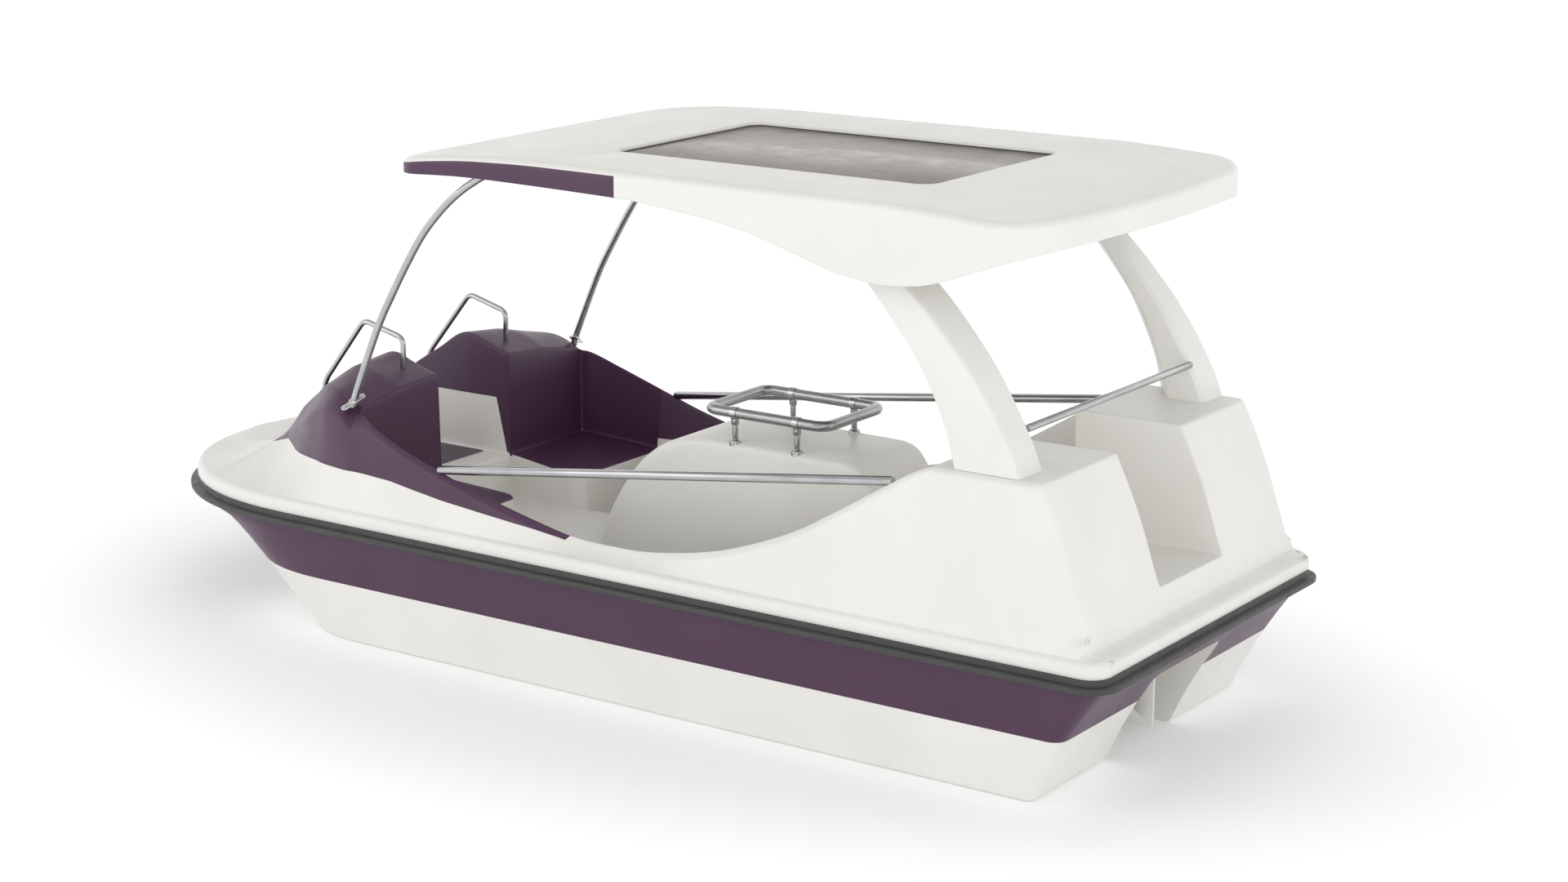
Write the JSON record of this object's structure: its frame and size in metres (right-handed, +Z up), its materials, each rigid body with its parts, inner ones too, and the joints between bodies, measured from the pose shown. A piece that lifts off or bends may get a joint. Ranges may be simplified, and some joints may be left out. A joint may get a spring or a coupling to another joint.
{
  "type": "pedal boat",
  "caption": "Catamaran pedal boat with moulded seats, paddle wheel under a central housing, steered rudder, tubular rails and a hard top with a smoked skylight.",
  "frame": {"origin": "bottom centre of the whole boat's box, on the floor under midships", "axes": "+X to the bow, +Y to port, +Z up"},
  "size_m": [4.37, 1.612, 1.89],
  "materials": {
    "white_gelcoat": "white gelcoat on glass fibre, satin gloss",
    "two_tone_gelcoat": "white gelcoat with fields of muted purple gelcoat, satin gloss",
    "rub_rail_rubber": "charcoal extruded rubber, matt",
    "floor_pad": "dark plum non-slip pad",
    "smoked_glazing": "smoked acrylic glazing, gloss",
    "polished_stainless": "polished stainless tube",
    "brushed_stainless": "brushed stainless bar",
    "black_nylon": "black bearing nylon",
    "pedal_plastic": "moulded black plastic with grip ribs",
    "wheel_polymer": "moulded off-white polymer",
    "grip_rubber": "soft black hand grip"
  },
  "bodies": {
    "boat": {"pontoon_port": "two_tone_gelcoat", "pontoon_starboard": "two_tone_gelcoat", "tunnel_panel": "two_tone_gelcoat", "stern_deck": "two_tone_gelcoat", "stern_seats": "two_tone_gelcoat", "cockpit_sole": "two_tone_gelcoat", "bow_seats": "two_tone_gelcoat", "bow_deck": "two_tone_gelcoat", "foot_well_port": "two_tone_gelcoat", "side_deck_port": "two_tone_gelcoat", "foot_well_starboard": "two_tone_gelcoat", "side_deck_starboard": "two_tone_gelcoat", "roof_shell": "two_tone_gelcoat", "paddle_housing": "white_gelcoat", "roof_arch_port": "white_gelcoat", "roof_arch_starboard": "white_gelcoat", "rub_rail": "rub_rail_rubber", "skylight_gasket": "rub_rail_rubber", "bow_floor_pad": "floor_pad", "skylight_panel": "smoked_glazing", "stanchion_port": "polished_stainless", "stanchion_foot_port": "polished_stainless", "grab_handle_port": "polished_stainless", "side_rail_port": "polished_stainless", "table_clamp_stern_port": "polished_stainless", "table_post_stern_port": "polished_stainless", "table_foot_stern_port": "polished_stainless", "table_clamp_bow_port": "polished_stainless", "table_post_bow_port": "polished_stainless", "table_foot_bow_port": "polished_stainless", "crank_bush_port": "black_nylon", "outer_bearing_port": "black_nylon", "stanchion_starboard": "polished_stainless", "stanchion_foot_starboard": "polished_stainless", "grab_handle_starboard": "polished_stainless", "side_rail_starboard": "polished_stainless", "table_clamp_stern_starboard": "polished_stainless", "table_post_stern_starboard": "polished_stainless", "table_foot_stern_starboard": "polished_stainless", "table_clamp_bow_starboard": "polished_stainless", "table_post_bow_starboard": "polished_stainless", "table_foot_bow_starboard": "polished_stainless", "crank_bush_starboard": "black_nylon", "outer_bearing_starboard": "black_nylon", "rear_cross_rail": "polished_stainless", "table_rail": "polished_stainless", "rudder_bush": "black_nylon", "steering_bush": "black_nylon"},
    "crank": {"crankshaft": "brushed_stainless", "paddle_wheel": "wheel_polymer"},
    "steering": {"steering_column": "brushed_stainless", "steering_grip": "grip_rubber"},
    "link": {"link_rod": "brushed_stainless"},
    "rudder": {"rudder_blade": "white_gelcoat", "rudder_stock": "brushed_stainless", "tiller_arm": "brushed_stainless"},
    "pedal_inner_port": {"pedal_inner_port": "pedal_plastic"},
    "pedal_outer_port": {"pedal_outer_port": "pedal_plastic"},
    "pedal_inner_starboard": {"pedal_inner_starboard": "pedal_plastic"},
    "pedal_outer_starboard": {"pedal_outer_starboard": "pedal_plastic"}
  },
  "joints": [
    {"name": "crank_spin", "type": "hinge", "parent": "boat", "child": "crank", "pos_m": [-0.409, 0, 0.4], "axis": [0, 1, 0], "continuous": true},
    {"name": "pedal_inner_port_spin", "type": "hinge", "parent": "crank", "child": "pedal_inner_port", "pos_m": [-0.274, 0.345, 0.4], "axis": [0, 1, 0], "continuous": true},
    {"name": "pedal_outer_port_spin", "type": "hinge", "parent": "crank", "child": "pedal_outer_port", "pos_m": [-0.544, 0.481, 0.4], "axis": [0, 1, 0], "continuous": true},
    {"name": "pedal_inner_starboard_spin", "type": "hinge", "parent": "crank", "child": "pedal_inner_starboard", "pos_m": [-0.544, -0.345, 0.4], "axis": [0, 1, 0], "continuous": true},
    {"name": "pedal_outer_starboard_spin", "type": "hinge", "parent": "crank", "child": "pedal_outer_starboard", "pos_m": [-0.274, -0.481, 0.4], "axis": [0, 1, 0], "continuous": true},
    {"name": "steering_turn", "type": "hinge", "parent": "boat", "child": "steering", "pos_m": [-1.329, 0, 0.45], "axis": [0, 0, 1], "range_deg": [-36, 36]},
    {"name": "link_swing", "type": "hinge", "parent": "steering", "child": "link", "pos_m": [-1.329, -0.08, 0.462], "axis": [0, 0, 1], "range_deg": [-36, 36]},
    {"name": "rudder_turn", "type": "hinge", "parent": "boat", "child": "rudder", "pos_m": [-1.819, 0, 0.3], "axis": [0, 0, 1], "range_deg": [-35, 35]}
  ],
  "couplings": [
    {"joint": "link_swing", "follows": "rudder_turn", "ratio": -1},
    {"joint": "steering_turn", "follows": "rudder_turn", "ratio": 1}
  ]
}
